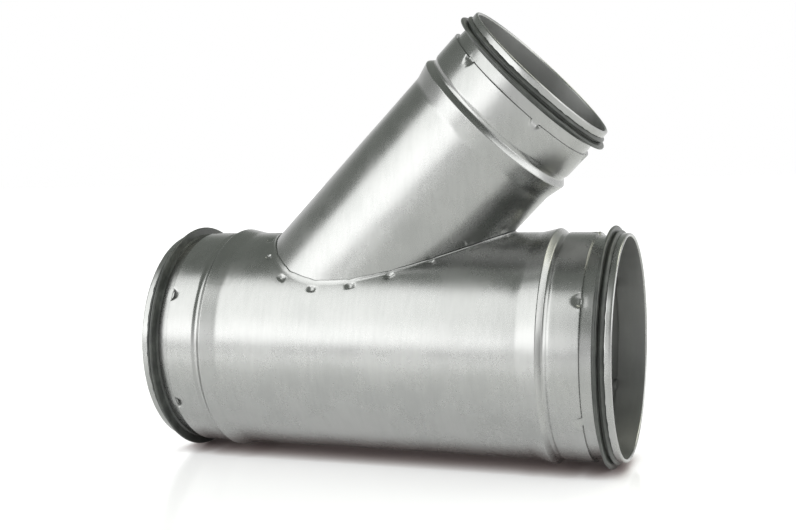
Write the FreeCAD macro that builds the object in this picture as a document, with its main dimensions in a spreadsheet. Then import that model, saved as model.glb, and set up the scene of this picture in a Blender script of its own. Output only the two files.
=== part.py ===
# Forty-five degree branch tee for round sheet steel duct.
#
# A straight run along X carries a smaller branch that leaves it at branch_angle, leaning
# towards the outlet. Each of the three ends is a spigot that is pushed into a duct: a folded
# rim that holds a double-lip rubber seal, a reduced seat, a sharp step with six webs, a collar
# that the duct slides over, a shallow groove and a stop bead.
# Units are millimetres. The origin is the centre of the inlet rim, +X runs along the duct
# towards the outlet, and +Z is the side that the branch leaves from.

import FreeCAD, Part
import Sketcher
import math
import os

from FreeCAD import Placement, Rotation, Vector

doc = FreeCAD.newDocument("PipeTee")


# Driving sizes

SIZES = [
    ("run_duct_dia", 160.0, "bore of the duct that the run's spigots enter"),
    ("branch_duct_dia", 125.0, "bore of the duct that the branch's spigot enters"),
    ("slip_gap", 0.3, "radial gap between a collar and its duct"),
    ("sheet", 0.6, "thickness of the steel sheet"),
    ("inlet_reach", 90.0, "inlet end to the crossing of the axes"),
    ("outlet_reach", 250.0, "outlet end to the crossing of the axes"),
    ("branch_reach", 270.0, "branch end to the crossing of the axes"),
    ("branch_angle", 45.0, "angle between the branch and the outlet side of the run"),
    ("rim_width", 4.6, "width of the sheet folded back over the seal's foot"),
    ("foot_thickness", 1.4, "thickness of the seal's foot"),
    ("seal_gap", 0.03, "clearance round the seal's foot"),
    ("seat_drop", 2.8, "how far the seal's seat lies below the collar"),
    ("seat_length", 20.8, "rim to the step at the collar"),
    ("collar_length", 20.4, "step to the groove"),
    ("groove_depth", 1.0, "depth of the groove before the stop bead"),
    ("groove_entry", 2.2, "length of the slope from the collar into the groove"),
    ("groove_length", 7.6, "collar to the crown of the stop bead"),
    ("bead_height", 2.8, "rise of the stop bead over the collar"),
    ("bead_crown", 1.5, "outer radius of the bead's crown"),
    ("bead_face_angle", 72.0, "slope of the face that stops the duct"),
    ("bead_ramp_angle", 13.0, "slope of the bead's long back"),
    ("web_count", 6.0, "webs that bridge the step"),
    ("web_width", 6.0, "width of a web"),
    ("web_length", 7.0, "length of a web's ramp"),
    ("seal_length", 13.2, "rim to the seal's inner edge"),
    ("seal_body", 1.6, "thickness of the seal between its lips"),
    ("seal_edge", 0.8, "thickness of the seal's inner edge"),
    ("seal_shoulder", 0.2, "gap between the fold's edge and the seal's body"),
    ("lip_one_place", 6.6, "rim to the low lip"),
    ("lip_one_rise", 1.2, "rise of the low lip over the collar"),
    ("lip_one_radius", 0.8, "radius of the low lip's tip"),
    ("lip_one_flare", 0.2, "how much wider the low lip is at its root"),
    ("lip_two_place", 10.3, "rim to the tall lip"),
    ("lip_two_rise", 4.4, "rise of the tall lip over the collar"),
    ("lip_two_radius", 1.1, "radius of the tall lip's tip"),
    ("lip_two_flare", 0.5, "how much wider the tall lip is at its root, on each side"),
    ("saddle_gap", 0.25, "gap between the branch and the lip of the run's hole"),
    ("saddle_lip", 0.9, "height of the lip round the run's hole"),
    ("flange_width", 8.0, "width of the branch's flange under the run's skin"),
    ("flange_gap", 0.05, "gap between the flange and the run's skin"),
    ("clinch_count", 19.0, "clinches round the saddle"),
    ("clinch_lag", 0.016, "how much closer the clinches stand at the heel, as a share of the seam"),
    ("clinch_offset", 3.8, "branch wall to the middle of a clinch"),
    ("clinch_width", 4.4, "width of a clinch along the seam"),
    ("clinch_length", 3.8, "length of a clinch across the seam"),
    ("clinch_depth", 0.9, "depth of a clinch"),
    ("clinch_wall", 0.5, "sheet left round a clinch"),
    ("weld_angle", 110.0, "place of the lengthwise weld, from the top towards the back"),
    ("weld_width", 4.0, "width of the lengthwise weld"),
    ("weld_rise", 0.25, "rise of the lengthwise weld"),
    ("rim_notch", 2.4, "width of the gap in the rim's fold at the weld"),
]

sizes = doc.addObject("Spreadsheet::Sheet", "sizes")
for row, (alias, number, meaning) in enumerate(SIZES, start=1):
    sizes.set(f"A{row}", alias)
    sizes.set(f"B{row}", str(number))
    sizes.set(f"C{row}", meaning)
    sizes.setAlias(f"B{row}", alias)
doc.recompute()


# Expressions in the sizes: each is a text that a property or a constraint is bound to

def use(alias):
    return f"sizes.{alias}"


def value(expression):
    """The number that an expression gives now."""
    result = sizes.evalExpression(expression)
    return float(getattr(result, "Value", result))


RUN_RADIUS = "(sizes.run_duct_dia / 2 - sizes.slip_gap)"
BRANCH_RADIUS = "(sizes.branch_duct_dia / 2 - sizes.slip_gap)"
RUN_LENGTH = "(sizes.inlet_reach + sizes.outlet_reach)"
ORIGIN_INSET = "(sizes.rim_width / 2)"
CROSSING = f"(sizes.inlet_reach - {ORIGIN_INSET})"
RIM_GAP = "(sizes.foot_thickness + 2 * sizes.seal_gap)"
RIM_NOSE = f"({RIM_GAP} / 2 + sizes.sheet)"
GROOVE_START = "(sizes.seat_length + sizes.collar_length)"
GROOVE_SETBACK = "(sizes.sheet * tan(atan(sizes.groove_depth / sizes.groove_entry) / 2))"
BEAD_PEAK = f"({GROOVE_START} + sizes.groove_length)"


# Sketched sections, revolved about X

def arc_between(first, last, centre, bulge):
    """An arc from first to last through centre + radius * bulge, with its end numbers."""
    radius = (first - centre).Length
    middle = centre + bulge * radius
    circle = Part.Circle(centre, Vector(0, 0, 1), radius)
    angles = [math.atan2((p - centre).y, (p - centre).x) for p in (first, middle, last)]
    turn = [(angle - angles[0]) % (2 * math.pi) for angle in angles]
    if turn[1] < turn[2]:
        return Part.ArcOfCircle(circle, angles[0], angles[0] + turn[2]), 1, 2
    back = (angles[0] - angles[2]) % (2 * math.pi)
    return Part.ArcOfCircle(circle, angles[2], angles[2] + back), 2, 1


def bind(sketch, constraint, expression):
    index = sketch.addConstraint(constraint)
    sketch.setExpression(f"Constraints[{index}]", expression)


def new_body(name):
    body = doc.addObject("PartDesign::Body", name)
    body.Label = name
    return body


def origin_feature(body, role):
    return next(item for item in body.Origin.OriginFeatures if item.Role == role)


def draw_loop(body, name, corners, bends=None):
    """A closed, fully constrained loop in the body's XZ plane.

    corners are (along, out) expressions. bends maps the number of the corner that an arc
    starts from to its centre, a direction in which it bulges and the way, X or Y, in which
    its centre is fixed.
    """
    bends = bends or {}
    sketch = body.newObject("Sketcher::SketchObject", name)
    sketch.AttachmentSupport = [(origin_feature(body, "XZ_Plane"), "")]
    sketch.MapMode = "FlatFace"
    points = [Vector(value(along), value(out), 0) for along, out in corners]
    starts, ends = [], []
    for number, point in enumerate(points):
        following = points[(number + 1) % len(points)]
        if number in bends:
            centre, bulge, fixed = bends[number]
            middle = Vector(value(centre[0]), value(centre[1]), 0)
            edge, start, end = arc_between(point, following, middle, bulge)
        else:
            edge, start, end = Part.LineSegment(point, following), 1, 2
        sketch.addGeometry(edge, False)
        starts.append(start)
        ends.append(end)
    for number, (along, out) in enumerate(corners):
        before = (number - 1) % len(corners)
        sketch.addConstraint(
            Sketcher.Constraint("Coincident", before, ends[before], number, starts[number]))
        point = points[number]
        bind(sketch, Sketcher.Constraint("DistanceX", -1, 1, number, starts[number], point.x), along)
        bind(sketch, Sketcher.Constraint("DistanceY", -1, 1, number, starts[number], point.y), out)
    for number, (centre, bulge, fixed) in bends.items():
        kind = "DistanceX" if fixed == "X" else "DistanceY"
        expression = centre[0] if fixed == "X" else centre[1]
        bind(sketch, Sketcher.Constraint(kind, -1, 1, number, 3, value(expression)), expression)
    return sketch


def revolve(body, sketch, name):
    feature = body.newObject("PartDesign::Revolution", name)
    feature.Profile = sketch
    feature.ReferenceAxis = (sketch, ["H_Axis"])
    feature.Angle = 360
    sketch.Visibility = False
    return feature


# Spigot section, as a distance from the rim and a radius

def spigot_corners(radius):
    """The sheet's two sides, from the fold's edge to the plain wall behind the bead."""
    seat = f"({radius} - sizes.seat_drop)"
    fold_in = f"({seat} + {RIM_GAP})"
    fold_out = f"({fold_in} + sizes.sheet)"
    floor = f"({radius} - sizes.groove_depth)"
    crown_centre = f"({radius} + sizes.bead_height - sizes.bead_crown)"
    groove_floor_start = f"({GROOVE_START} + sizes.groove_entry)"

    def bead(wall, crown):
        """Foot, two ends of the crown and end of the back, for one side of the sheet."""
        face_place = f"({BEAD_PEAK} - {crown} * sin(sizes.bead_face_angle))"
        face_out = f"({crown_centre} + {crown} * cos(sizes.bead_face_angle))"
        back_place = f"({BEAD_PEAK} + {crown} * sin(sizes.bead_ramp_angle))"
        back_out = f"({crown_centre} + {crown} * cos(sizes.bead_ramp_angle))"
        foot_out = f"({floor} - {wall})"
        plain_out = f"({radius} - {wall})"
        foot_place = f"({face_place} - ({face_out} - {foot_out}) / tan(sizes.bead_face_angle))"
        plain_place = f"({back_place} + ({back_out} - {plain_out}) / tan(sizes.bead_ramp_angle))"
        return [
            (foot_place, foot_out),
            (face_place, face_out),
            (back_place, back_out),
            (plain_place, plain_out),
        ]

    air_side = [
        (use("rim_width"), fold_out),
        (RIM_NOSE, fold_out),
        (RIM_NOSE, f"({seat} - sizes.sheet)"),
        (f"({use('seat_length')} + sizes.sheet)", f"({seat} - sizes.sheet)"),
        (f"({use('seat_length')} + sizes.sheet)", f"({radius} - sizes.sheet)"),
        (f"({GROOVE_START} - {GROOVE_SETBACK})", f"({radius} - sizes.sheet)"),
        (f"({groove_floor_start} - {GROOVE_SETBACK})", f"({floor} - sizes.sheet)"),
    ] + bead(use("sheet"), "(sizes.bead_crown - sizes.sheet)")
    duct_side = [
        (use("rim_width"), fold_in),
        (RIM_NOSE, fold_in),
        (RIM_NOSE, seat),
        (use("seat_length"), seat),
        (use("seat_length"), radius),
        (GROOVE_START, radius),
        (groove_floor_start, floor),
    ] + bead("0", use("bead_crown"))
    fold_centre = (RIM_NOSE, f"({fold_in} + {seat}) / 2")
    return air_side, duct_side, fold_centre, (BEAD_PEAK, crown_centre)


def place_spigot(radius, end, way):
    """Corners of a spigot whose rim lies at end and whose wall goes way along X.

    Also the two centres of its bends, and the direction in which its rim faces.
    """
    air_side, duct_side, fold_centre, crown_centre = spigot_corners(radius)

    def along(distance):
        return f"({end} {way} {distance})"

    air = [(along(distance), out) for distance, out in air_side]
    duct = [(along(distance), out) for distance, out in duct_side]
    nose = (along(fold_centre[0]), fold_centre[1])
    crown = (along(crown_centre[0]), crown_centre[1])
    outward = Vector(-1 if way == "+" else 1, 0, 0)
    return air, duct, nose, crown, outward


UP = Vector(0, 1, 0)


def side_bends(first, side, nose, crown, outward, reverse):
    """The bends of one side of a spigot's sheet, whose corners start at number first.

    The nose's arc starts one corner after the fold's edge, and the crown's three before the
    plain wall. On a reversed side each arc starts from its other end.
    """
    nose_start, crown_start = 1, len(side) - 3
    if reverse:
        nose_start, crown_start = (len(side) - 2 - start for start in (nose_start, crown_start))
    return {first + nose_start: (nose, outward, "X"), first + crown_start: (crown, UP, "X")}


def tube_body(name, radius, length, both_ends):
    """A tube of sheet along X, with a spigot at its far end, or at both."""
    air, duct, *bend = place_spigot(radius, length, "-")
    count = len(air)
    if both_ends:
        near_air, near_duct, *near_bend = place_spigot(radius, "0", "+")
        corners = near_air + air[::-1] + duct + near_duct[::-1]
        bends = side_bends(0, near_air, *near_bend, reverse=False)
        bends.update(side_bends(3 * count, near_duct, *near_bend, reverse=True))
        far_start = count
    else:
        corners = [("0", f"({radius} - sizes.sheet)")] + air[::-1] + duct + [("0", radius)]
        bends = {}
        far_start = 1
    bends.update(side_bends(far_start, air, *bend, reverse=True))
    bends.update(side_bends(far_start + count, duct, *bend, reverse=False))
    body = new_body(name)
    section = draw_loop(body, f"{name}_section", corners, bends)
    revolve(body, section, f"{name}_wall")
    return body


# Webs: where the step was not sheared, the collar runs down to the seat in a short ramp

def spread_round(body, feature, name):
    pattern = body.newObject("PartDesign::PolarPattern", name)
    pattern.Originals = [feature]
    pattern.Axis = (origin_feature(body, "X_Axis"), [""])
    pattern.Angle = 360
    pattern.setExpression("Occurrences", use("web_count"))
    body.Tip = pattern
    return pattern


def add_webs(body, name, radius, end, way):
    step = use("seat_length")
    ramp_end = "(sizes.seat_length + sizes.web_length)"
    seat = f"({radius} - sizes.seat_drop)"
    lap = "(sizes.sheet / 6)"

    def loop(points):
        return [(f"({end} {way} {distance})", out) for distance, out in points]

    under = loop([
        (f"({step} + sizes.sheet / 2)", f"({seat} - sizes.sheet + {lap})"),
        (ramp_end, f"({radius} - sizes.sheet + {lap})"),
        (ramp_end, f"({radius} - {lap})"),
        (f"({step} + sizes.sheet / 2)", f"({radius} - {lap})"),
    ])
    sketch = draw_loop(body, f"{name}_under_sketch", under)
    pad = body.newObject("PartDesign::Pad", f"{name}_under")
    pad.Profile = sketch
    pad.setExpression("Length", "sizes.web_width + 2 * sizes.sheet")
    pad.Midplane = True
    sketch.Visibility = False
    spread_round(body, pad, f"{name}_under_ring")

    above = loop([
        (f"({step} - sizes.sheet)", f"({seat} + {lap})"),
        (step, f"({seat} + {lap})"),
        (ramp_end, radius),
        (ramp_end, f"({radius} + sizes.sheet)"),
        (f"({step} - sizes.sheet)", f"({radius} + sizes.sheet)"),
    ])
    sketch = draw_loop(body, f"{name}_ramp_sketch", above)
    pocket = body.newObject("PartDesign::Pocket", f"{name}_ramp")
    pocket.Profile = sketch
    pocket.setExpression("Length", use("web_width"))
    pocket.Midplane = True
    sketch.Visibility = False
    spread_round(body, pocket, f"{name}_ramp_ring")


# Plain solids for the saddle

def cylinder_along(name, radius, start, length, direction, at_x="0"):
    """A cylinder about an axis in the XZ plane that passes through at_x on the X axis."""
    solid = doc.addObject("Part::Cylinder", name)
    solid.setExpression("Radius", radius)
    solid.setExpression("Height", length)
    solid.setExpression("Placement.Rotation.Angle", f"90 - {direction}")
    solid.Placement.Rotation = Rotation(Vector(0, 1, 0), 90 - value(direction))
    solid.setExpression("Placement.Base.x", f"{at_x} + {start} * cos({direction})")
    solid.setExpression("Placement.Base.z", f"{start} * sin({direction})")
    return solid


def cut(name, base, tool):
    result = doc.addObject("Part::Cut", name)
    result.Base = base
    result.Tool = tool
    result.Label = name
    return result


def common(name, base, tool):
    result = doc.addObject("Part::Common", name)
    result.Base = base
    result.Tool = tool
    return result


def fuse(name, *solids):
    result = doc.addObject("Part::MultiFuse", name)
    result.Shapes = list(solids)
    result.Label = name
    return result


def shell(name, outer, inner):
    """A tube about the run's axis that spans the saddle."""
    length = RUN_LENGTH
    skin = cylinder_along(f"{name}_outer", outer, "0", length, "0")
    core = cylinder_along(f"{name}_inner", inner, "0", length, "0")
    return cut(name, skin, core)


def branch_cylinder(name, radius):
    return cylinder_along(name, radius, "0", use("branch_reach"), use("branch_angle"), CROSSING)


# Clinches: points evenly spaced along the seam

def clinch_places():
    """Point on the run's skin, outward normal and seam direction of each clinch."""
    run = value(RUN_RADIUS)
    ring = value(f"{BRANCH_RADIUS} + sizes.clinch_offset")
    angle = math.radians(value(use("branch_angle")))
    axis = Vector(math.cos(angle), 0, math.sin(angle))
    side = Vector(-math.sin(angle), 0, math.cos(angle))
    across = Vector(0, 1, 0)
    crossing = Vector(value(CROSSING), 0, 0)

    def on_skin(turn):
        """Where the ring about the branch's axis meets the run's skin at this turn."""
        foot = side * (ring * math.cos(turn)) + across * (ring * math.sin(turn))
        height = (math.sqrt(run ** 2 - foot.y ** 2) - foot.z) / axis.z
        return crossing + foot + axis * height

    steps = 720
    points = [on_skin(2 * math.pi * step / steps) for step in range(steps + 1)]
    lengths = [0.0]
    for first, second in zip(points, points[1:]):
        lengths.append(lengths[-1] + (second - first).Length)
    count = int(round(value(use("clinch_count"))))
    lag = value(use("clinch_lag"))
    places = []
    for number in range(count):
        share = number / count
        wanted = lengths[-1] * (share - lag * math.sin(2 * math.pi * share))
        step = next(k for k in range(steps) if lengths[k + 1] > wanted)
        point = points[step]
        seam = points[step + 1] - points[step]
        normal = Vector(0, point.y, point.z).normalize()
        seam = (seam - normal * seam.dot(normal)).normalize()
        places.append((point, normal, seam))
    return places


def clinch_blocks(name, width, length, low, high):
    """One block at each clinch, from low to high along the skin's normal."""
    blocks = []
    for number, (point, normal, seam) in enumerate(clinch_places(), start=1):
        block = doc.addObject("Part::Box", f"{name}_{number:02d}")
        block.setExpression("Length", width)
        block.setExpression("Width", length)
        block.setExpression("Height", f"{high} - ({low})")
        across = normal.cross(seam)
        turn = Rotation(seam, across, normal, "XYZ")
        corner = point - seam * (value(width) / 2) - across * (value(length) / 2)
        block.Placement = Placement(corner + normal * value(low), turn)
        blocks.append(block)
    return fuse(name, *blocks)


# The run

def weld_block(name, start, length, width, low, high):
    """A bar along the weld line, from low to high in radius."""
    bar = doc.addObject("Part::Box", name)
    bar.setExpression("Length", length)
    bar.setExpression("Width", width)
    bar.setExpression("Height", f"{high} - ({low})")
    turn = Rotation(Vector(1, 0, 0), -value(use("weld_angle")))
    corner = Vector(value(start), -value(width) / 2, value(low))
    bar.Placement = Placement(turn.multVec(corner), turn)
    return bar


def bead_back():
    """Distance from the rim to the end of the stop bead's back."""
    return spigot_corners(RUN_RADIUS)[1][-1][0]


def make_run():
    body = tube_body("run_pipe", RUN_RADIUS, RUN_LENGTH, True)
    add_webs(body, "inlet_web", RUN_RADIUS, "0", "+")
    add_webs(body, "outlet_web", RUN_RADIUS, RUN_LENGTH, "-")
    body.setExpression("Placement.Base.x", f"-{ORIGIN_INSET}")

    weld = weld_block(
        "weld_bar",
        f"{bead_back()} - {ORIGIN_INSET}",
        f"{RUN_LENGTH} - 2 * {bead_back()}",
        use("weld_width"),
        f"{RUN_RADIUS} - sizes.sheet / 2",
        f"{RUN_RADIUS} + sizes.weld_rise",
    )
    skin_band = shell("lip_band", f"{RUN_RADIUS} + sizes.saddle_lip", f"{RUN_RADIUS} - sizes.sheet / 2")
    lip_post = branch_cylinder("lip_post", f"{BRANCH_RADIUS} + sizes.saddle_gap + sizes.sheet")
    lip = common("saddle_lip_ring", skin_band, lip_post)
    bosses = clinch_blocks(
        "clinch_boss",
        "sizes.clinch_width + 2 * sizes.clinch_wall",
        "sizes.clinch_length + 2 * sizes.clinch_wall",
        "-sizes.clinch_depth - sizes.sheet",
        "-sizes.sheet / 2",
    )
    blank = fuse("run_blank", body, weld, lip, bosses)

    pits = clinch_blocks(
        "clinch_pit",
        use("clinch_width"),
        use("clinch_length"),
        "-sizes.clinch_depth",
        "sizes.sheet",
    )
    hole = branch_cylinder("saddle_hole", f"{BRANCH_RADIUS} + sizes.saddle_gap")
    fold_middle = f"({RUN_RADIUS} - sizes.seat_drop + {RIM_GAP} / 2)"
    notches = [
        weld_block(
            f"{name}_notch",
            start,
            "sizes.rim_width + sizes.sheet",
            use("rim_notch"),
            fold_middle,
            f"{RUN_RADIUS} + sizes.sheet",
        )
        for name, start in (
            ("inlet", f"-{ORIGIN_INSET} - sizes.sheet / 2"),
            ("outlet", f"{RUN_LENGTH} - {ORIGIN_INSET} - sizes.rim_width - sizes.sheet / 2"),
        )
    ]
    cuts = fuse("run_cuts", hole, pits, *notches)
    return cut("run_tube", blank, cuts)


# The branch

def make_branch():
    body = tube_body("branch_pipe", BRANCH_RADIUS, use("branch_reach"), False)
    add_webs(body, "branch_web", BRANCH_RADIUS, use("branch_reach"), "-")
    body.Placement.Rotation = Rotation(Vector(0, -1, 0), value(use("branch_angle")))
    body.setExpression("Placement.Rotation.Angle", "sizes.branch_angle")
    body.setExpression("Placement.Base.x", CROSSING)

    flange_out = f"({RUN_RADIUS} - sizes.sheet - sizes.flange_gap)"
    flange_in = f"({flange_out} - sizes.sheet)"
    core = cylinder_along("branch_trim", flange_in, "0", RUN_LENGTH, "0")
    wall = cut("branch_wall", body, core)
    band = shell("flange_band", flange_out, flange_in)
    disc = branch_cylinder("flange_disc", f"{BRANCH_RADIUS} + sizes.flange_width")
    bore = branch_cylinder("flange_bore", f"{BRANCH_RADIUS} - sizes.sheet")
    ring = cut("flange_ring", common("flange_blank", band, disc), bore)
    windows = clinch_blocks(
        "clinch_window",
        "sizes.clinch_width + 2 * sizes.clinch_wall + 2 * sizes.flange_gap",
        "sizes.clinch_length + 2 * sizes.clinch_wall + 2 * sizes.flange_gap",
        "-sizes.clinch_depth - 3 * sizes.sheet",
        "0",
    )
    return cut("branch_tube", fuse("branch_blank", wall, ring), windows)


# The seals

def make_gasket(name, radius, end, way):
    """A double-lip seal whose foot lies in the rim's fold and whose body sits on the seat."""
    foot_low = f"({radius} - sizes.seat_drop + sizes.seal_gap)"
    foot_high = f"({foot_low} + sizes.foot_thickness)"
    body_high = f"({foot_low} + sizes.seal_body)"
    foot_start = f"({RIM_NOSE} + sizes.seal_gap)"
    shoulder = "(sizes.rim_width + sizes.seal_shoulder)"

    def lip(place, rise, tip_radius):
        centre = f"({radius} + {rise} - {tip_radius})"
        near = f"({place} - {tip_radius})"
        far = f"({place} + {tip_radius})"
        return near, far, centre

    near_one, far_one, out_one = lip(use("lip_one_place"), use("lip_one_rise"), use("lip_one_radius"))
    near_two, far_two, out_two = lip(use("lip_two_place"), use("lip_two_rise"), use("lip_two_radius"))
    inner_edge = use("seal_length")
    points = [
        (foot_start, foot_low),
        (inner_edge, foot_low),
        (inner_edge, f"({foot_low} + sizes.seal_edge)"),
        (f"({far_two} + sizes.lip_two_flare)", body_high),
        (far_two, out_two),
        (near_two, out_two),
        (f"({near_two} - sizes.lip_two_flare)", body_high),
        (f"({far_one} + sizes.lip_one_flare)", body_high),
        (far_one, out_one),
        (near_one, out_one),
        (shoulder, body_high),
        (shoulder, foot_high),
        (foot_start, foot_high),
    ]

    def along(distance):
        return f"({end} {way} {distance})"

    corners = [(along(distance), out) for distance, out in points]
    bends = {
        4: ((along(use("lip_two_place")), out_two), UP, "Y"),
        8: ((along(use("lip_one_place")), out_one), UP, "Y"),
    }
    body = new_body(name)
    section = draw_loop(body, f"{name}_section", corners, bends)
    revolve(body, section, f"{name}_ring")
    return body


def make_gaskets():
    inlet = make_gasket("gasket_inlet", RUN_RADIUS, "0", "+")
    inlet.setExpression("Placement.Base.x", f"-{ORIGIN_INSET}")
    outlet = make_gasket("gasket_outlet", RUN_RADIUS, RUN_LENGTH, "-")
    outlet.setExpression("Placement.Base.x", f"-{ORIGIN_INSET}")
    branch = make_gasket("gasket_branch", BRANCH_RADIUS, use("branch_reach"), "-")
    branch.Placement.Rotation = Rotation(Vector(0, -1, 0), value(use("branch_angle")))
    branch.setExpression("Placement.Rotation.Angle", "sizes.branch_angle")
    branch.setExpression("Placement.Base.x", CROSSING)
    return [inlet, outlet, branch]


# Build, test and write

pieces = [make_run(), make_branch()] + make_gaskets()
doc.recompute()

for item in doc.Objects:
    if "Invalid" in item.State or "Error" in item.State:
        raise RuntimeError(f"{item.Label} did not rebuild: {item.State}")
for piece in pieces:
    if piece.Shape.isNull() or not piece.Shape.isValid():
        raise RuntimeError(f"{piece.Label} has no valid shape")

os.makedirs("parts", exist_ok=True)
for piece in pieces:
    piece.Shape.exportStep(f"parts/{piece.Label}.step")
    box = piece.Shape.optimalBoundingBox(False)
    print(f"{piece.Label}: {len(piece.Shape.Solids)} solid, volume {piece.Shape.Volume:.1f} mm3, "
          f"X {box.XMin:.1f} to {box.XMax:.1f}, Y {box.YMin:.1f} to {box.YMax:.1f}, "
          f"Z {box.ZMin:.1f} to {box.ZMax:.1f}")
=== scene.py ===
import math

import bmesh
import bpy
from mathutils import Matrix, Vector


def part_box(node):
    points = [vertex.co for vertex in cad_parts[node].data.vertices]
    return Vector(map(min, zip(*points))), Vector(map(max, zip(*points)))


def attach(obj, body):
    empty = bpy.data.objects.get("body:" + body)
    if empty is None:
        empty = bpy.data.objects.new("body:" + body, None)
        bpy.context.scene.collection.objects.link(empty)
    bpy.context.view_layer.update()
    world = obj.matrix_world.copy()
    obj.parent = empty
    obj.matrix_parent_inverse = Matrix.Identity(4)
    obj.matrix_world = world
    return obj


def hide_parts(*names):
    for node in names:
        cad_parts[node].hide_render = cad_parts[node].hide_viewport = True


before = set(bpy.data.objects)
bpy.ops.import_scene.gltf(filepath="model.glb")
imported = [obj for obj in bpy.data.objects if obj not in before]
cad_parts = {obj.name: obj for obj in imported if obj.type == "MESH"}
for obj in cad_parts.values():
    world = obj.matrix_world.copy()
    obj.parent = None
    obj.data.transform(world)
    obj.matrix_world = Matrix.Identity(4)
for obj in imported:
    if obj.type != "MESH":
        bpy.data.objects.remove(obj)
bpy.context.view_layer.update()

MM = 0.001

# The tee's frame: X along the run, the branch leaves at 45 degrees towards +X and +Z

INLET_REACH = 90 * MM
CROSSING_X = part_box("run_tube")[0].x + INLET_REACH
LIP_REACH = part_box("gasket_inlet")[1].y


# Camera: fitted to the outlines of the photograph

CAMERA_AZIMUTH = 19.99
CAMERA_DROP = 4.86
CAMERA_ROLL = -1.37
CAMERA_DISTANCE = 877.7 * MM
CAMERA_LENS = 54.08
CAMERA_FAR = 50
AIM_ALONG_RUN = 80.5 * MM
AIM_HEIGHT = 55.5 * MM


def make_camera():
    azimuth, drop, roll = (math.radians(v) for v in (CAMERA_AZIMUTH, CAMERA_DROP, CAMERA_ROLL))
    level = Vector((math.cos(azimuth), math.sin(azimuth), 0))
    ahead = Vector((-math.sin(azimuth) * math.cos(drop), math.cos(azimuth) * math.cos(drop), -math.sin(drop)))
    upright = level.cross(ahead)
    right = math.cos(roll) * level + math.sin(roll) * upright
    up = math.cos(roll) * upright - math.sin(roll) * level
    aim = Vector((CROSSING_X + AIM_ALONG_RUN, 0, AIM_HEIGHT))
    camera = bpy.data.objects.new("camera", bpy.data.cameras.new("camera"))
    camera.data.lens = CAMERA_LENS
    camera.data.clip_end = CAMERA_FAR
    turn = Matrix((right, up, -ahead)).transposed()
    camera.matrix_world = Matrix.Translation(aim - ahead * CAMERA_DISTANCE) @ turn.to_4x4()
    bpy.context.scene.collection.objects.link(camera)
    bpy.context.scene.camera = camera


# The tee's own sizes, in millimetres and degrees. s runs inwards from a rim, h is the height over the collar.

RUN_RADIUS = 79.7
BRANCH_RADIUS = 62.2
INLET_END = -2.3
OUTLET_END = 337.7
CROSSING = 87.7
BRANCH_REACH = 270.0
SHEET = 0.6
ROOT_HALF = math.sqrt(0.5)
BRANCH_AXIS = Vector((ROOT_HALF, 0, ROOT_HALF))
BRANCH_SIDE = Vector((-ROOT_HALF, 0, ROOT_HALF))
FRONT = Vector((0, -1, 0))

NOSE_RADIUS = 1.33
NOSE_MIDDLE = -2.07
NOSE_STEPS = 8
FOLD_IN = -1.34
FOLD_OUT = -0.74
FOLD_EDGE = 4.6
SEAT = -2.8
SEAT_BEND = 12.5
SEAT_SLOPE = 0.07
SEAT_RISE = 0.58
STEP = 20.8
RAMP_END = 28.2
GROOVE_TOP = 41.0
GROOVE_BOTTOM = 43.0
GROOVE_DEPTH = 1.0
CROWN_MIDDLE = (48.8, 1.8)
BEAD_FACE = 50
BEAD_BACK = 13
BEAD_END = 58.4
WALL_START = 65.5

WEB_COUNT = 6
WEB_PITCH = 60
WEB_HALF = 5.2
WEB_TAPER = 2.6
WEB_EAR = 0.16

WELD_ANGLE = -110.0
WELD_RISE = 0.25
NOTCH_HALF = 1.2
NOTCH_BOTTOM = 1.5
NOTCH_REACH = 3.6

HOLE_RADIUS = 62.45
FLANGE_RADIUS = 70.2
FLANGE_TOP = -0.65
FLANGE_BEND = 0.8

CLINCH_RADIUS = 66.0
CLINCH_COUNT = 19
CLINCH_LAG = 0.016
CLINCH_DEPTH = 0.9
CLINCH_HALF = (2.5, 2.2)
CLINCH_REACH = 3.4
CLINCH_HALO = 0.12


# Sections of a spigot

def smooth(value, low, high):
    """0 below low, 1 above high and an even slope between."""
    share = min(max((value - low) / (high - low), 0.0), 1.0)
    return share * share * (3 - 2 * share)


def arc(centre, radius, first, last, steps):
    """Points on a circle, with angles in degrees from straight outwards, positive away from the rim."""
    angles = [math.radians(first + (last - first) * k / steps) for k in range(steps + 1)]
    return [(centre[0] + radius * math.sin(a), centre[1] + radius * math.cos(a)) for a in angles]


def bent(corners):
    """A path through corners (s, h, setback, steps), each rounded from setback before it to setback after."""
    path = []
    for number, (s, h, setback, steps) in enumerate(corners):
        if not setback:
            path.append((s, h))
            continue
        corner = Vector((s, h))
        before = Vector(corners[number - 1][:2]) - corner
        after = Vector(corners[number + 1][:2]) - corner
        first = corner + before.normalized() * setback
        last = corner + after.normalized() * setback
        for k in range(steps + 1):
            t = k / steps
            point = first * (1 - t) ** 2 + corner * (2 * t * (1 - t)) + last * t ** 2
            path.append((point.x, point.y))
    return path


def flat(h, *places):
    """Corners without rounding, all at one height."""
    return [(s, h, 0, 0) for s in places]


def with_bead(collar, crown, foot, foot_h, back, wall_h, steps):
    """The collar's path, then the stop bead with this crown radius, then the plain wall."""
    before = [(foot, foot_h, 0.6, 3), (foot + 1.6, foot_h + 1.9, 0, 0)] + flat(0, 48)
    top = arc(CROWN_MIDDLE, crown, -BEAD_FACE, BEAD_BACK, steps)
    slope = math.tan(math.radians(BEAD_BACK))
    last_s, last_h = top[-1]
    behind = [(s, last_h - (s - last_s) * slope, 0, 0) for s in (51.2, 53.6, 56.2, BEAD_END)]
    behind += [(back, wall_h, 1.8, 4), (WALL_START, wall_h, 0, 0)]
    return bent(collar + before)[:-1] + top + bent([top[-1] + (0, 0)] + behind)[1:]


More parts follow.
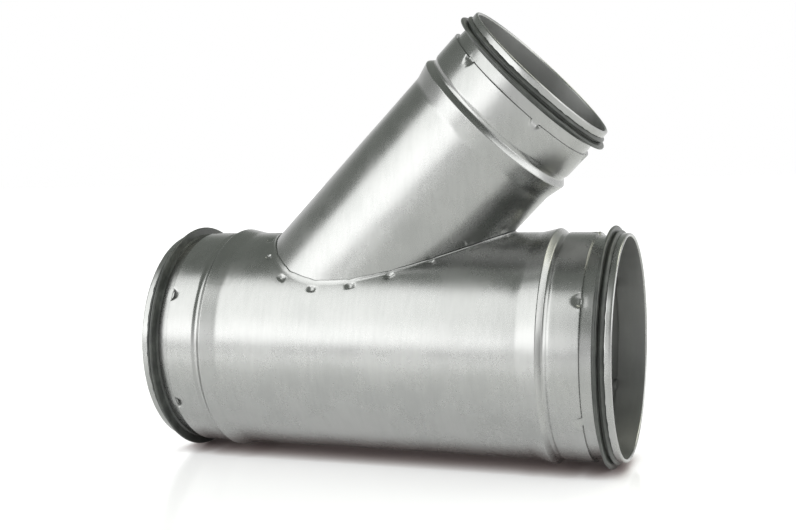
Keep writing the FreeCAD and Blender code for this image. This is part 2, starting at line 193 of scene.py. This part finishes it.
def duct_side():
    """Outer skin, from the inside of the fold to the plain wall."""
    fold = [(FOLD_EDGE - 0.1, FOLD_IN), (NOSE_RADIUS, FOLD_IN), (0.75, -1.6)]
    fold += [(0.6, NOSE_MIDDLE), (0.75, -2.55), (NOSE_RADIUS, SEAT)]
    collar = flat(SEAT, 5, 9, SEAT_BEND)
    collar += [(s, SEAT + SEAT_SLOPE * (s - SEAT_BEND), 0, 0) for s in (13.5, 15.5, 18, 19.6)]
    collar += [(STEP, SEAT + SEAT_RISE, 0.25, 2), (STEP, SEAT / 2, 0, 0), (STEP, 0, 0.3, 3)]
    collar += flat(0, 21.8, 22.7, 23.6, 24.6, 25.6, 26.6, 27.6, 29, 31.5, 35, 38.4)
    collar += [(GROOVE_TOP, 0, 0.9, 3), (GROOVE_BOTTOM, -GROOVE_DEPTH, 0.8, 3)]
    return fold + with_bead(collar, 1.0, 44.9, -GROOVE_DEPTH, 61.0, 0.0, 7)


def air_side():
    """Inner skin, from the top of the rim's nose to the plain wall."""
    seat, step, groove = SEAT - SHEET, STEP + SHEET, -GROOVE_DEPTH - SHEET
    nose = arc((NOSE_RADIUS, NOSE_MIDDLE), NOSE_RADIUS, 0, -180, NOSE_STEPS)
    collar = flat(seat, 5, 12, 19.4) + [(step, seat, 0.3, 2), (step, -SHEET, 0.3, 2)]
    collar += flat(-SHEET, 22.6, 24.2, 26, 28.4, 32, 37.4)
    collar += [(GROOVE_TOP - 0.2, -SHEET, 0.7, 2), (GROOVE_BOTTOM - 0.2, groove, 0.7, 2)]
    return nose + with_bead(collar, 0.4, 45.18, groove, 60.93, -SHEET, 4)


def land():
    """The folded edge and the land over it, from the fold's inside to the top of the nose."""
    edge = [(FOLD_EDGE, FOLD_IN), (FOLD_EDGE, FOLD_OUT - 0.12), (FOLD_EDGE - 0.12, FOLD_OUT)]
    return edge + [(3.7, FOLD_OUT), (2.4, FOLD_OUT)]


# Angles round a spigot, and what the pressing and rolling did to its section

NEAR_WEB = 5.6
NEAR_SPACING = 0.8
NEAR_COUNT = 15
NEAR_WELD = (-2, -1.5, -1.1, -0.84, -0.4, 0, 0.4, 0.84, 1.1, 1.5, 2)
CLEAR_OF_WELD = 2.4

# Waves: how many times round, how high, and from where
EDGE_WAVES = ((23, 0.08, 0.4), (37, 0.09, 2.1), (53, 0.1, 5.0), (71, 0.09, 1.2))
NOSE_WAVES = ((5, 0.05, 1.0), (13, 0.04, 3.0), (31, 0.03, 0.3))
# Dents: how deep, how often along a millimetre and round the tube, and from where
DENTS = ((0.035, 0.083, 2, 0.6), (0.03, 0.131, -3, 2.0), (0.025, 0.057, 5, 4.4))


def columns(per_sector, weld=None):
    """Angles round a spigot in degrees, closer together at its six webs and at a weld."""
    near = [-NEAR_WEB + NEAR_SPACING * k for k in range(NEAR_COUNT)]
    count = (per_sector - NEAR_COUNT + 1) // 2
    far = [NEAR_WEB + (WEB_PITCH / 2 - NEAR_WEB) * k / count for k in range(1, count + 1)]
    sector = [-a for a in reversed(far)] + near + far[:-1]
    angles = [(WEB_PITCH * k + a) % 360 for k in range(WEB_COUNT) for a in sector]
    if weld is not None:
        angles = [a for a in angles if abs(a - weld % 360) > CLEAR_OF_WELD]
        angles += [weld % 360 + a for a in NEAR_WELD]
    return sorted(angles)


def off_nearest(angle, middle, pitch, radius):
    """Distance round a circle to the nearest of the angles that stand at middle and every pitch from it."""
    return abs((angle - middle + pitch / 2) % pitch - pitch / 2) * math.pi / 180 * radius


def ripple(angle, waves):
    return sum(size * math.sin(times * angle + phase) for times, size, phase in waves)


def dents(s, phi):
    """Slight unevenness of the rolled sheet along and round a tube."""
    return sum(size * math.sin(along * s + times * phi + phase) for size, along, times, phase in DENTS)


def web_form(s, h, off_web):
    """Moves a point near the step to where a web that bridges the step has it."""
    inside = h < SEAT - 0.1 or (s > STEP and h < -0.3)
    drop = SHEET if inside else 0.0
    base = h + drop
    half = WEB_HALF - WEB_TAPER * smooth(s, STEP, RAMP_END)
    web = 1 - smooth(off_web, 0.5 * half, half)
    ramp = SEAT * (1 - smooth(s, STEP - 3.0, RAMP_END))
    s += web * 0.35 * (base - SEAT / 2) * (1 - smooth(s, STEP + 1.0, STEP + 2.4))
    ear = math.exp(-((off_web - half - 0.3) / 0.7) ** 2) * (1 - smooth(s, STEP + 0.4, STEP + 2.2))
    lift = WEB_EAR * ear * smooth(base, -0.6, -0.1)
    return s, (1 - web) * base + web * ramp + lift - drop


def spigot_form(s, h, angle, radius, turn):
    """Moves a point of the plain section to where the pressed webs and the wavy rim have it."""
    phi = math.radians(angle)
    if s < FOLD_EDGE + 0.1 and h > FOLD_IN - 0.01:
        s += ripple(phi + turn, EDGE_WAVES) * smooth(s, 2.0, 4.4)
        off_weld = off_nearest(angle, WELD_ANGLE, 360, radius)
        notch = NOTCH_BOTTOM + NOTCH_REACH * smooth(off_weld, NOTCH_HALF - 0.1, NOTCH_HALF + 0.5)
        # A small share of s keeps the rows apart inside the notch
        s = min(s, notch + 0.04 * s)
    if s < 6:
        h += ripple(phi + turn, NOSE_WAVES) * (1 - smooth(s, 3, 6))
    if 18 < s < RAMP_END + 1 and h <= 0.001:
        s, h = web_form(s, h, off_nearest(angle, 0, WEB_PITCH, radius))
    return s, h


# Meshes

class Skin:
    """Collects the vertices and faces of one closed sheet."""

    def __init__(self):
        self.points = []
        self.faces = []
        self.inner = []

    def row(self, points):
        """Adds points and gives back their numbers."""
        start = len(self.points)
        self.points.extend(points)
        return list(range(start, len(self.points)))

    def strip(self, first, second, closed=True, inner=False):
        """Adds the faces between two rows. inner faces get the second material."""
        count = len(first)
        for k in range(count if closed else count - 1):
            following = (k + 1) % count
            self.faces.append((first[k], first[following], second[following], second[k]))
            self.inner.append(inner)

    def piece(self, name, materials, node):
        """Makes the object, hangs it on the root body and hides the node in whose place it stands."""
        mesh = bpy.data.meshes.new(name)
        mesh.from_pydata([p * MM for p in self.points], [], self.faces)
        for material in materials:
            mesh.materials.append(material)
        mesh.polygons.foreach_set("material_index", [int(inner) for inner in self.inner])
        builder = bmesh.new()
        builder.from_mesh(mesh)
        bmesh.ops.recalc_face_normals(builder, faces=builder.faces)
        builder.to_mesh(mesh)
        builder.free()
        mesh.shade_smooth()
        made = bpy.data.objects.new(name, mesh)
        weighted = made.modifiers.new("weighted", "WEIGHTED_NORMAL")
        weighted.mode = "FACE_AREA"
        bpy.context.scene.collection.objects.link(made)
        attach(made, "root")
        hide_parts(node)


def run_point(x, phi, h):
    radius = RUN_RADIUS + h
    return Vector((x, -radius * math.sin(phi), radius * math.cos(phi)))


def branch_point(t, psi, h):
    side = BRANCH_SIDE * math.cos(psi) + FRONT * math.sin(psi)
    return Vector((CROSSING, 0, 0)) + BRANCH_AXIS * t + side * (BRANCH_RADIUS + h)


def run_wall(x, phi, under):
    """A point of the run's plain wall, with its unevenness and the lengthwise weld."""
    off_weld = off_nearest(math.degrees(phi), WELD_ANGLE, 360, RUN_RADIUS)
    weld = 0.0 if under else WELD_RISE * (1 - smooth(off_weld, 0.9, 2.3))
    return run_point(x, phi, dents(x, phi) + weld - under)


def uneven(s, h, along, angle):
    """Height of a point of a spigot, whose unevenness fades in behind the bead."""
    return h + dents(along, angle) * smooth(s, 50, WALL_START)


def inlet_place(s, h, phi):
    return run_point(INLET_END + s, phi, uneven(s, h, INLET_END + s, phi))


def outlet_place(s, h, phi):
    return run_point(OUTLET_END - s, phi, uneven(s, h, OUTLET_END - s, phi))


def branch_place(s, h, psi):
    return branch_point(BRANCH_REACH - s, psi, uneven(s, h, BRANCH_REACH - s, psi))


def spigot_rows(skin, angles, radius, turn, place):
    """Rows of one spigot from the plain wall's outside, round the rim, to the plain wall's inside."""
    outside = duct_side()[::-1] + land()
    rows = []
    for s, h in outside + air_side():
        formed = [spigot_form(s, h, angle, radius, turn) for angle in angles]
        rows.append(skin.row([place(*form, math.radians(a)) for form, a in zip(formed, angles)]))
    nose_bottom = len(outside) + NOSE_STEPS
    for number, (first, second) in enumerate(zip(rows, rows[1:])):
        skin.strip(first, second, inner=number >= nose_bottom)
    return rows[0], rows[-1]


# The saddle: curves where a cylinder about the branch's axis meets one about the run's

SEAM_STEPS = 720


def saddle_height(psi, radius, run_h=0.0):
    """Distance along the branch's axis at which the two cylinders meet."""
    z = math.sqrt((RUN_RADIUS + run_h) ** 2 - (radius * math.sin(psi)) ** 2)
    return z / ROOT_HALF - radius * math.cos(psi)


def saddle_point(psi, radius, run_h=0.0):
    return branch_point(saddle_height(psi, radius, run_h), psi, radius - BRANCH_RADIUS)


def path_lengths(points):
    """Length of the path up to each of its points."""
    lengths = [0.0]
    for first, second in zip(points, points[1:]):
        lengths.append(lengths[-1] + (second - first).length)
    return lengths


def seam_curve(radius):
    """Points all round the seam at this radius from the branch's axis, and the length up to each."""
    points = [saddle_point(2 * math.pi * k / SEAM_STEPS, radius) for k in range(SEAM_STEPS + 1)]
    return points, path_lengths(points)


def seam_angles(shares):
    """Angles about the branch's axis at these shares of the seam's length."""
    lengths = seam_curve(HOLE_RADIUS)[1]
    angles = []
    step = 0
    for share in shares:
        wanted = share * lengths[-1]
        while step < SEAM_STEPS - 1 and lengths[step + 1] < wanted:
            step += 1
        part = (wanted - lengths[step]) / (lengths[step + 1] - lengths[step])
        angles.append(2 * math.pi * (step + part) / SEAM_STEPS)
    return angles


def clinch_frames():
    """Middle of each clinch, and the directions along and across the seam there."""
    points, lengths = seam_curve(CLINCH_RADIUS)
    frames = []
    for number in range(CLINCH_COUNT):
        share = number / CLINCH_COUNT
        wanted = lengths[-1] * (share - CLINCH_LAG * math.sin(2 * math.pi * share))
        step = next(k for k in range(SEAM_STEPS) if lengths[k + 1] > wanted)
        point = points[step]
        normal = Vector((0, point.y, point.z)).normalized()
        along = points[step + 1] - points[step]
        along = (along - normal * along.dot(normal)).normalized()
        frames.append((point, along, normal.cross(along)))
    return frames


CLINCHES = clinch_frames()


def clinch_dent(point):
    """Depth of the pressed clinches at a point of the run's skin, and how near the closest one is."""
    middle, along, across = min(CLINCHES, key=lambda c: (c[0] - point).length_squared)
    off_along = abs((point - middle).dot(along))
    off_across = abs((point - middle).dot(across))
    norm = ((off_along / CLINCH_HALF[0]) ** 4 + (off_across / CLINCH_HALF[1]) ** 4) ** 0.25
    pit = CLINCH_DEPTH * (1 - smooth(norm, 0.7, 1.14))
    return pit + CLINCH_HALO * math.exp(-norm * norm / 3), math.exp(-(off_along / CLINCH_REACH) ** 2)


# Rows of the run's skin outwards from the hole: how far out, and how high over the skin

LIP_WIDTH = 1.2
LIP_END = 1.7
LIP_PRESSED = 0.45
LIP = (
    (0.0, 0.76), (0.08, 0.87), (0.3, 0.92), (0.52, 0.87), (0.62, 0.72),
    (0.72, 0.4), (0.88, 0.17), (LIP_WIDTH, 0.05), (LIP_END, 0.0),
)
OUTER_ROWS = LIP + tuple((LIP_END + 0.33 * k, 0.0) for k in range(1, 15)) + ((7.2, 0.0), (8.2, 0.0))
INNER_ROWS = tuple((place, 0.0) for place in (0.0, 1.4, 2.0, 2.6, 3.2, 3.8, 4.4, 5.0, 5.6, 6.4, 8.2))


def saddle_ring(skin, angles, rows, under):
    """Rows of the run's skin from the hole outwards. under is the depth of the skin that is made."""
    made = []
    for outwards, lift in rows:
        radius = HOLE_RADIUS + outwards
        row = []
        for psi in angles:
            plain = saddle_point(psi, radius)
            depth, pull = clinch_dent(plain)
            if outwards < LIP_WIDTH:
                depth = 0.0
            rise = lift * (1 - LIP_PRESSED * pull)
            raised = saddle_point(psi, radius, rise)
            phi = math.atan2(-raised.y, raised.z)
            row.append(run_point(raised.x, phi, rise - depth - under + dents(plain.x, phi)))
        made.append(skin.row(row))
    for first, second in zip(made, made[1:]):
        skin.strip(first, second, inner=under > 0)
    return made


LOWER_CUT = 77.8
LOWER_STATIONS = 97


def lower_wall(skin, angles, start_row, end_row, under):
    """The run's plain wall away from the branch. Returns the loop of vertices that it leaves open."""
    cut = LOWER_CUT - 0.8
    x_low, x_high = INLET_END + WALL_START, OUTLET_END - WALL_START
    places = [x_low + (x_high - x_low) * k / LOWER_STATIONS for k in range(1, LOWER_STATIONS)]
    low = [k for k, a in enumerate(angles) if cut <= a % 360 <= 360 - cut]
    low.sort(key=lambda k: angles[k] % 360)
    rows = [[start_row[k] for k in low]]
    for x in places:
        rows.append(skin.row([run_wall(x, math.radians(angles[k]), under) for k in low]))
    rows.append([end_row[k] for k in low])
    for first, second in zip(rows, rows[1:]):
        skin.strip(first, second, closed=False, inner=under > 0)
    top = [k for k in range(len(angles)) if k not in low[1:-1]]
    top.sort(key=lambda k: (angles[k] + 180) % 360)
    middle = next(i for i, k in enumerate(top) if abs(angles[k] % 360) < 1e-6)
    front, back = top[middle:], top[:middle + 1]
    loop = [start_row[k] for k in front]
    loop += [row[0] for row in rows[1:-1]]
    loop += [end_row[k] for k in reversed(front)]
    loop += [end_row[k] for k in reversed(back[:-1])]
    loop += [row[-1] for row in reversed(rows[1:-1])]
    loop += [start_row[k] for k in back[:-1]]
    return loop


def unrolled(point):
    return Vector((point.x, RUN_RADIUS * math.atan2(-point.y, point.z)))


def loop_shares(skin, loop):
    """Share of the loop's length on the unrolled skin up to each of its vertices."""
    places = [unrolled(skin.points[k]) for k in loop]
    lengths = path_lengths(places + places[:1])
    return [length / lengths[-1] for length in lengths[:-1]]


def fill_between(skin, ring, loop, steps, under):
    """Rows between the ring's last row and the loop round it, a little closer together near the ring."""
    rows = [ring]
    for step in range(1, steps):
        share = (step / steps) ** 1.25
        row = []
        for near, far in zip(ring, loop):
            place = unrolled(skin.points[near]).lerp(unrolled(skin.points[far]), share)
            row.append(run_wall(place.x, place.y / RUN_RADIUS, under))
        rows.append(skin.row(row))
    rows.append(loop)
    for first, second in zip(rows, rows[1:]):
        skin.strip(first, second, inner=under > 0)


RUN_COLUMNS = 36
INLET_TURN = 0.3
OUTLET_TURN = 2.2


def make_run(materials):
    skin = Skin()
    angles = columns(RUN_COLUMNS, WELD_ANGLE)
    inlet_out, inlet_in = spigot_rows(skin, angles, RUN_RADIUS, INLET_TURN, inlet_place)
    outlet_out, outlet_in = spigot_rows(skin, angles, RUN_RADIUS, OUTLET_TURN, outlet_place)
    edges = []
    for under, first, last, rows, steps in (
        (0.0, inlet_out, outlet_out, OUTER_ROWS, 8),
        (SHEET, inlet_in, outlet_in, INNER_ROWS, 6),
    ):
        loop = lower_wall(skin, angles, first, last, under)
        ring = saddle_ring(skin, seam_angles(loop_shares(skin, loop)), rows, under)
        fill_between(skin, ring[-1], loop, steps, under)
        edges.append(ring[0])
    skin.strip(*edges)
    skin.piece("run_sheet", materials, "run_tube")


BRANCH_COLUMNS = 54
BRANCH_TURN = 1.1
WALL_ROWS = 18
INSIDE_ROWS = 12
FLANGE_ROWS = tuple(0.3 + 0.53 * k for k in range(15))


def flange_row(skin, angles, radius, run_h, rise=0.0):
    """A row at this radius from the branch's axis, run_h over the run's skin, pressed in at the clinches."""
    row = []
    for angle in angles:
        psi = math.radians(angle)
        plain = saddle_point(psi, radius, run_h)
        phi = math.atan2(-plain.y, plain.z)
        depth = clinch_dent(saddle_point(psi, radius))[0] if radius > HOLE_RADIUS else 0.0
        row.append(run_point(plain.x, phi, run_h + rise - depth))
    return skin.row(row)


def make_branch(materials):
    skin = Skin()
    angles = columns(BRANCH_COLUMNS)
    outside, inside = spigot_rows(skin, angles, BRANCH_RADIUS, BRANCH_TURN, branch_place)
    start = BRANCH_REACH - WALL_START
    under = FLANGE_TOP - SHEET
    rows = [outside]
    for k in range(1, WALL_ROWS + 1):
        row = []
        for angle in angles:
            psi = math.radians(angle)
            t = start + (saddle_height(psi, BRANCH_RADIUS, FLANGE_TOP) - start) * k / WALL_ROWS
            row.append(branch_point(t, psi, dents(t, psi) * (1 - (k / WALL_ROWS) ** 4)))
        rows.append(skin.row(row))
    rows += [flange_row(skin, angles, BRANCH_RADIUS + d, FLANGE_TOP) for d in FLANGE_ROWS]
    rows.append(flange_row(skin, angles, FLANGE_RADIUS, FLANGE_TOP))
    rows.append(flange_row(skin, angles, FLANGE_RADIUS, under))
    rows += [flange_row(skin, angles, BRANCH_RADIUS + d, under) for d in reversed(FLANGE_ROWS)]
    for d, rise in ((-0.1, 0.04), (-0.4, 0.25), (-SHEET, FLANGE_BEND)):
        rows.append(flange_row(skin, angles, BRANCH_RADIUS + d, under + rise))
    for k in range(1, INSIDE_ROWS):
        row = []
        for angle in angles:
            psi = math.radians(angle)
            low = saddle_height(psi, BRANCH_RADIUS - SHEET, under + FLANGE_BEND)
            t = low + (start - low) * k / INSIDE_ROWS
            row.append(branch_point(t, psi, dents(t, psi) * (k / INSIDE_ROWS) ** 0.3 - SHEET))
        rows.append(skin.row(row))
    rows.append(inside)
    for number, (first, second) in enumerate(zip(rows, rows[1:])):
        skin.strip(first, second, inner=number > WALL_ROWS)
    skin.piece("branch_sheet", materials, "branch_tube")


# Node materials

def rgb(red, green, blue):
    return (red, green, blue, 1.0)


WHITE = rgb(1, 1, 1)
ZINC_DULL = rgb(0.325, 0.33, 0.323)
ZINC_CLEAR = rgb(0.38, 0.383, 0.376)
ZINC_ROUGHNESS = 0.27
ZINC_INSIDE_ROUGHNESS = 0.5
RUBBER_CLEAN = rgb(0.042, 0.046, 0.042)
RUBBER_CHALKY = rgb(0.095, 0.102, 0.093)
BOARD_COLOUR = rgb(0.86, 0.86, 0.86)
BOARD_ROUGHNESS = 0.1
BOARD_GLOW = 0.43
# Painted shadow on the floor near the part: its dull reddish-brown colour, and how far the occlusion mask
# that lays it reaches
PAINTED_SHADOW_COLOUR = rgb(0.5, 0.41, 0.4)
PAINTED_SHADOW_REACH = 0.018
CEILING_COLOUR = rgb(0.28, 0.3, 0.275)


class Nodes:
    """Short calls for building one material's or world's node tree."""

    def __init__(self, tree):
        self.tree = tree
        tree.nodes.clear()

    def add(self, kind, inputs=None, **settings):
        """A node whose inputs are sockets to link or values to set."""
        node = self.tree.nodes.new(kind)
        for key, setting in settings.items():
            setattr(node, key, setting)
        for key, source in (inputs or {}).items():
            self.feed(node.inputs[key], source)
        return node

    def feed(self, target, source):
        if isinstance(source, bpy.types.NodeSocket):
            self.tree.links.new(source, target)
        else:
            target.default_value = source

    def math(self, operation, a, b):
        return self.add("ShaderNodeMath", {0: a, 1: b}, operation=operation).outputs[0]

    def ramp(self, source, low, high, to_low=0.0, to_high=1.0):
        inputs = {0: source, 1: low, 2: high, 3: to_low, 4: to_high}
        return self.add("ShaderNodeMapRange", inputs, interpolation_type="SMOOTHSTEP").outputs[0]

    def noise(self, place, scale, detail, roughness):
        inputs = {"Vector": place, "Scale": scale, "Detail": detail, "Roughness": roughness}
        return self.add("ShaderNodeTexNoise", inputs).outputs[0]

    def mix(self, factor, a, b):
        node = self.add("ShaderNodeMix", data_type="RGBA")
        for socket, source in (("Factor_Float", factor), ("A_Color", a), ("B_Color", b)):
            self.feed(next(i for i in node.inputs if i.identifier == socket), source)
        return next(o for o in node.outputs if o.identifier == "Result_Color")

    def bump(self, height, strength, distance):
        inputs = {"Height": height, "Strength": strength, "Distance": distance}
        return self.add("ShaderNodeBump", inputs).outputs[0]

    def output(self, shader, kind="ShaderNodeOutputMaterial"):
        self.add(kind, {"Surface": shader.outputs[0]})


def new_material(name):
    material = bpy.data.materials.new(name)
    material.use_nodes = True
    return material, Nodes(material.node_tree)


def zinc_material(name, roughness):
    """Satin zinc on rolled steel sheet: a faint cloudy bloom with fine streaks and grain."""
    material, nodes = new_material(name)
    place = nodes.add("ShaderNodeTexCoord").outputs["Object"]
    bloom = nodes.noise(place, 28, 4, 0.55)
    grain = nodes.noise(place, 900, 3, 0.6)
    across = nodes.add("ShaderNodeMapping", {"Vector": place, "Scale": (6, 1, 1)}).outputs[0]
    streaks = nodes.noise(across, 60, 3, 0.6)
    tone = nodes.math("ADD", nodes.math("MULTIPLY", bloom, 0.7), nodes.math("MULTIPLY", streaks, 0.3))
    colour = nodes.mix(nodes.ramp(tone, 0.3, 0.7), ZINC_DULL, ZINC_CLEAR)
    cloudy = nodes.ramp(bloom, 0.3, 0.7, roughness - 0.03, roughness + 0.03)
    rough = nodes.math("ADD", cloudy, nodes.ramp(grain, 0.3, 0.7, -0.01, 0.02))
    height = nodes.math("ADD", nodes.math("MULTIPLY", grain, 0.5), nodes.math("MULTIPLY", bloom, 0.5))
    normal = nodes.bump(height, 0.02, 0.0004)
    inputs = {"Base Color": colour, "Metallic": 1.0, "Roughness": rough, "Normal": normal}
    nodes.output(nodes.add("ShaderNodeBsdfPrincipled", inputs))
    return material


def rubber_material():
    """Dull dark grey rubber with a chalky bloom in patches."""
    material, nodes = new_material("seal_rubber")
    place = nodes.add("ShaderNodeTexCoord").outputs["Object"]
    dust = nodes.noise(place, 90, 5, 0.6)
    grain = nodes.noise(place, 1500, 2, 0.5)
    colour = nodes.mix(nodes.ramp(dust, 0.35, 0.75), RUBBER_CLEAN, RUBBER_CHALKY)
    rough = nodes.ramp(dust, 0.3, 0.7, 0.3, 0.46)
    inputs = {"Base Color": colour, "Roughness": rough, "Normal": nodes.bump(grain, 0.15, 0.0002)}
    nodes.output(nodes.add("ShaderNodeBsdfPrincipled", inputs))
    return material


def floor_material():
    """White glossy board, whose glow lifts it to white for the eye and for reflections alike. Close to the
    part an
    occlusion mask paints a shadow on it: the board turns to a dull reddish-brown diffuse and its glow fades
    out."""
    material, nodes = new_material("floor_white")
    path = nodes.add("ShaderNodeLightPath")
    seen = nodes.math("MAXIMUM", path.outputs["Is Camera Ray"], path.outputs["Is Glossy Ray"])
    seen = nodes.math("MAXIMUM", seen, path.outputs["Is Transmission Ray"])
    # Painted shadow: near the part the occlusion mask swaps the board for the dull reddish-brown diffuse and
    # fades out the glow
    openness = nodes.add("ShaderNodeAmbientOcclusion", {"Distance": PAINTED_SHADOW_REACH}, samples=12).outputs["AO"]
    clear = nodes.ramp(openness, 0.1, 0.85)
    board = nodes.add("ShaderNodeBsdfPrincipled", {"Base Color": BOARD_COLOUR, "Roughness": BOARD_ROUGHNESS})
    shade = nodes.add("ShaderNodeBsdfDiffuse", {"Color": PAINTED_SHADOW_COLOUR})
    covered = nodes.add("ShaderNodeMixShader", {0: clear, 1: shade.outputs[0], 2: board.outputs[0]})
    strength = nodes.math("MULTIPLY", seen, nodes.math("MULTIPLY", clear, BOARD_GLOW))
    glow = nodes.add("ShaderNodeEmission", {"Color": WHITE, "Strength": strength})
    nodes.output(nodes.add("ShaderNodeAddShader", {0: covered.outputs[0], 1: glow.outputs[0]}))
    return material


# Studio

FLOOR_HALF = 12
FLOOR_GAP = 0.1 * MM

# Name, middle and size (width, height) in metres, turn in Euler degrees, radiance, colour
SOFTBOXES = (
    ("softbox_left", (-0.92, -1.31, 1.48), (2.05, 2.84), (90, 0, -38), 2.15, (1, 1, 1)),
    ("softbox_right", (1.6, 0.1, 0.75), (1.6, 1.1), (90, 0, 90), 2.0, (1, 1, 1)),
    ("softbox_back", (1.15, 0.95, 1.7), (1.2, 1.2), (41, 0, 129.5), 2.2, (1, 0.99, 0.84)),
)


def make_world():
    """White up to a little over the horizon, and a dim ceiling above."""
    world = bpy.data.worlds.new("studio")
    world.use_nodes = True
    nodes = Nodes(world.node_tree)
    ray = nodes.add("ShaderNodeTexCoord").outputs["Generated"]
    height = nodes.add("ShaderNodeSeparateXYZ", {0: ray}).outputs["Z"]
    colour = nodes.mix(nodes.ramp(height, 0.2, 0.45), WHITE, CEILING_COLOUR)
    background = nodes.add("ShaderNodeBackground", {"Color": colour, "Strength": 1.0})
    nodes.output(background, "ShaderNodeOutputWorld")
    bpy.context.scene.world = world


def add_softbox(name, middle, size, turn, radiance, colour):
    lamp = bpy.data.lights.new(name, "AREA")
    lamp.shape = "RECTANGLE"
    lamp.size, lamp.size_y = size
    lamp.energy = radiance * math.pi * size[0] * size[1]
    lamp.color = colour
    lamp_object = bpy.data.objects.new(name, lamp)
    lamp_object.location = middle
    lamp_object.rotation_euler = [math.radians(angle) for angle in turn]
    bpy.context.scene.collection.objects.link(lamp_object)


def make_floor():
    mesh = bpy.data.meshes.new("floor")
    builder = bmesh.new()
    bmesh.ops.create_grid(builder, x_segments=1, y_segments=1, size=FLOOR_HALF)
    builder.to_mesh(mesh)
    builder.free()
    floor = bpy.data.objects.new("floor", mesh)
    floor.location.z = -LIP_REACH - FLOOR_GAP
    mesh.materials.append(floor_material())
    bpy.context.scene.collection.objects.link(floor)


# Dress and light

zinc = zinc_material("zinc_sheet", ZINC_ROUGHNESS)
zinc_inside = zinc_material("zinc_inside", ZINC_INSIDE_ROUGHNESS)
rubber = rubber_material()
for name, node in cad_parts.items():
    node.data.materials.clear()
    node.data.materials.append(rubber if name.startswith("gasket") else zinc)
make_run((zinc, zinc_inside))
make_branch((zinc, zinc_inside))

make_camera()
make_world()
make_floor()
for softbox in SOFTBOXES:
    add_softbox(*softbox)

bpy.context.scene.view_settings.view_transform = "Standard"
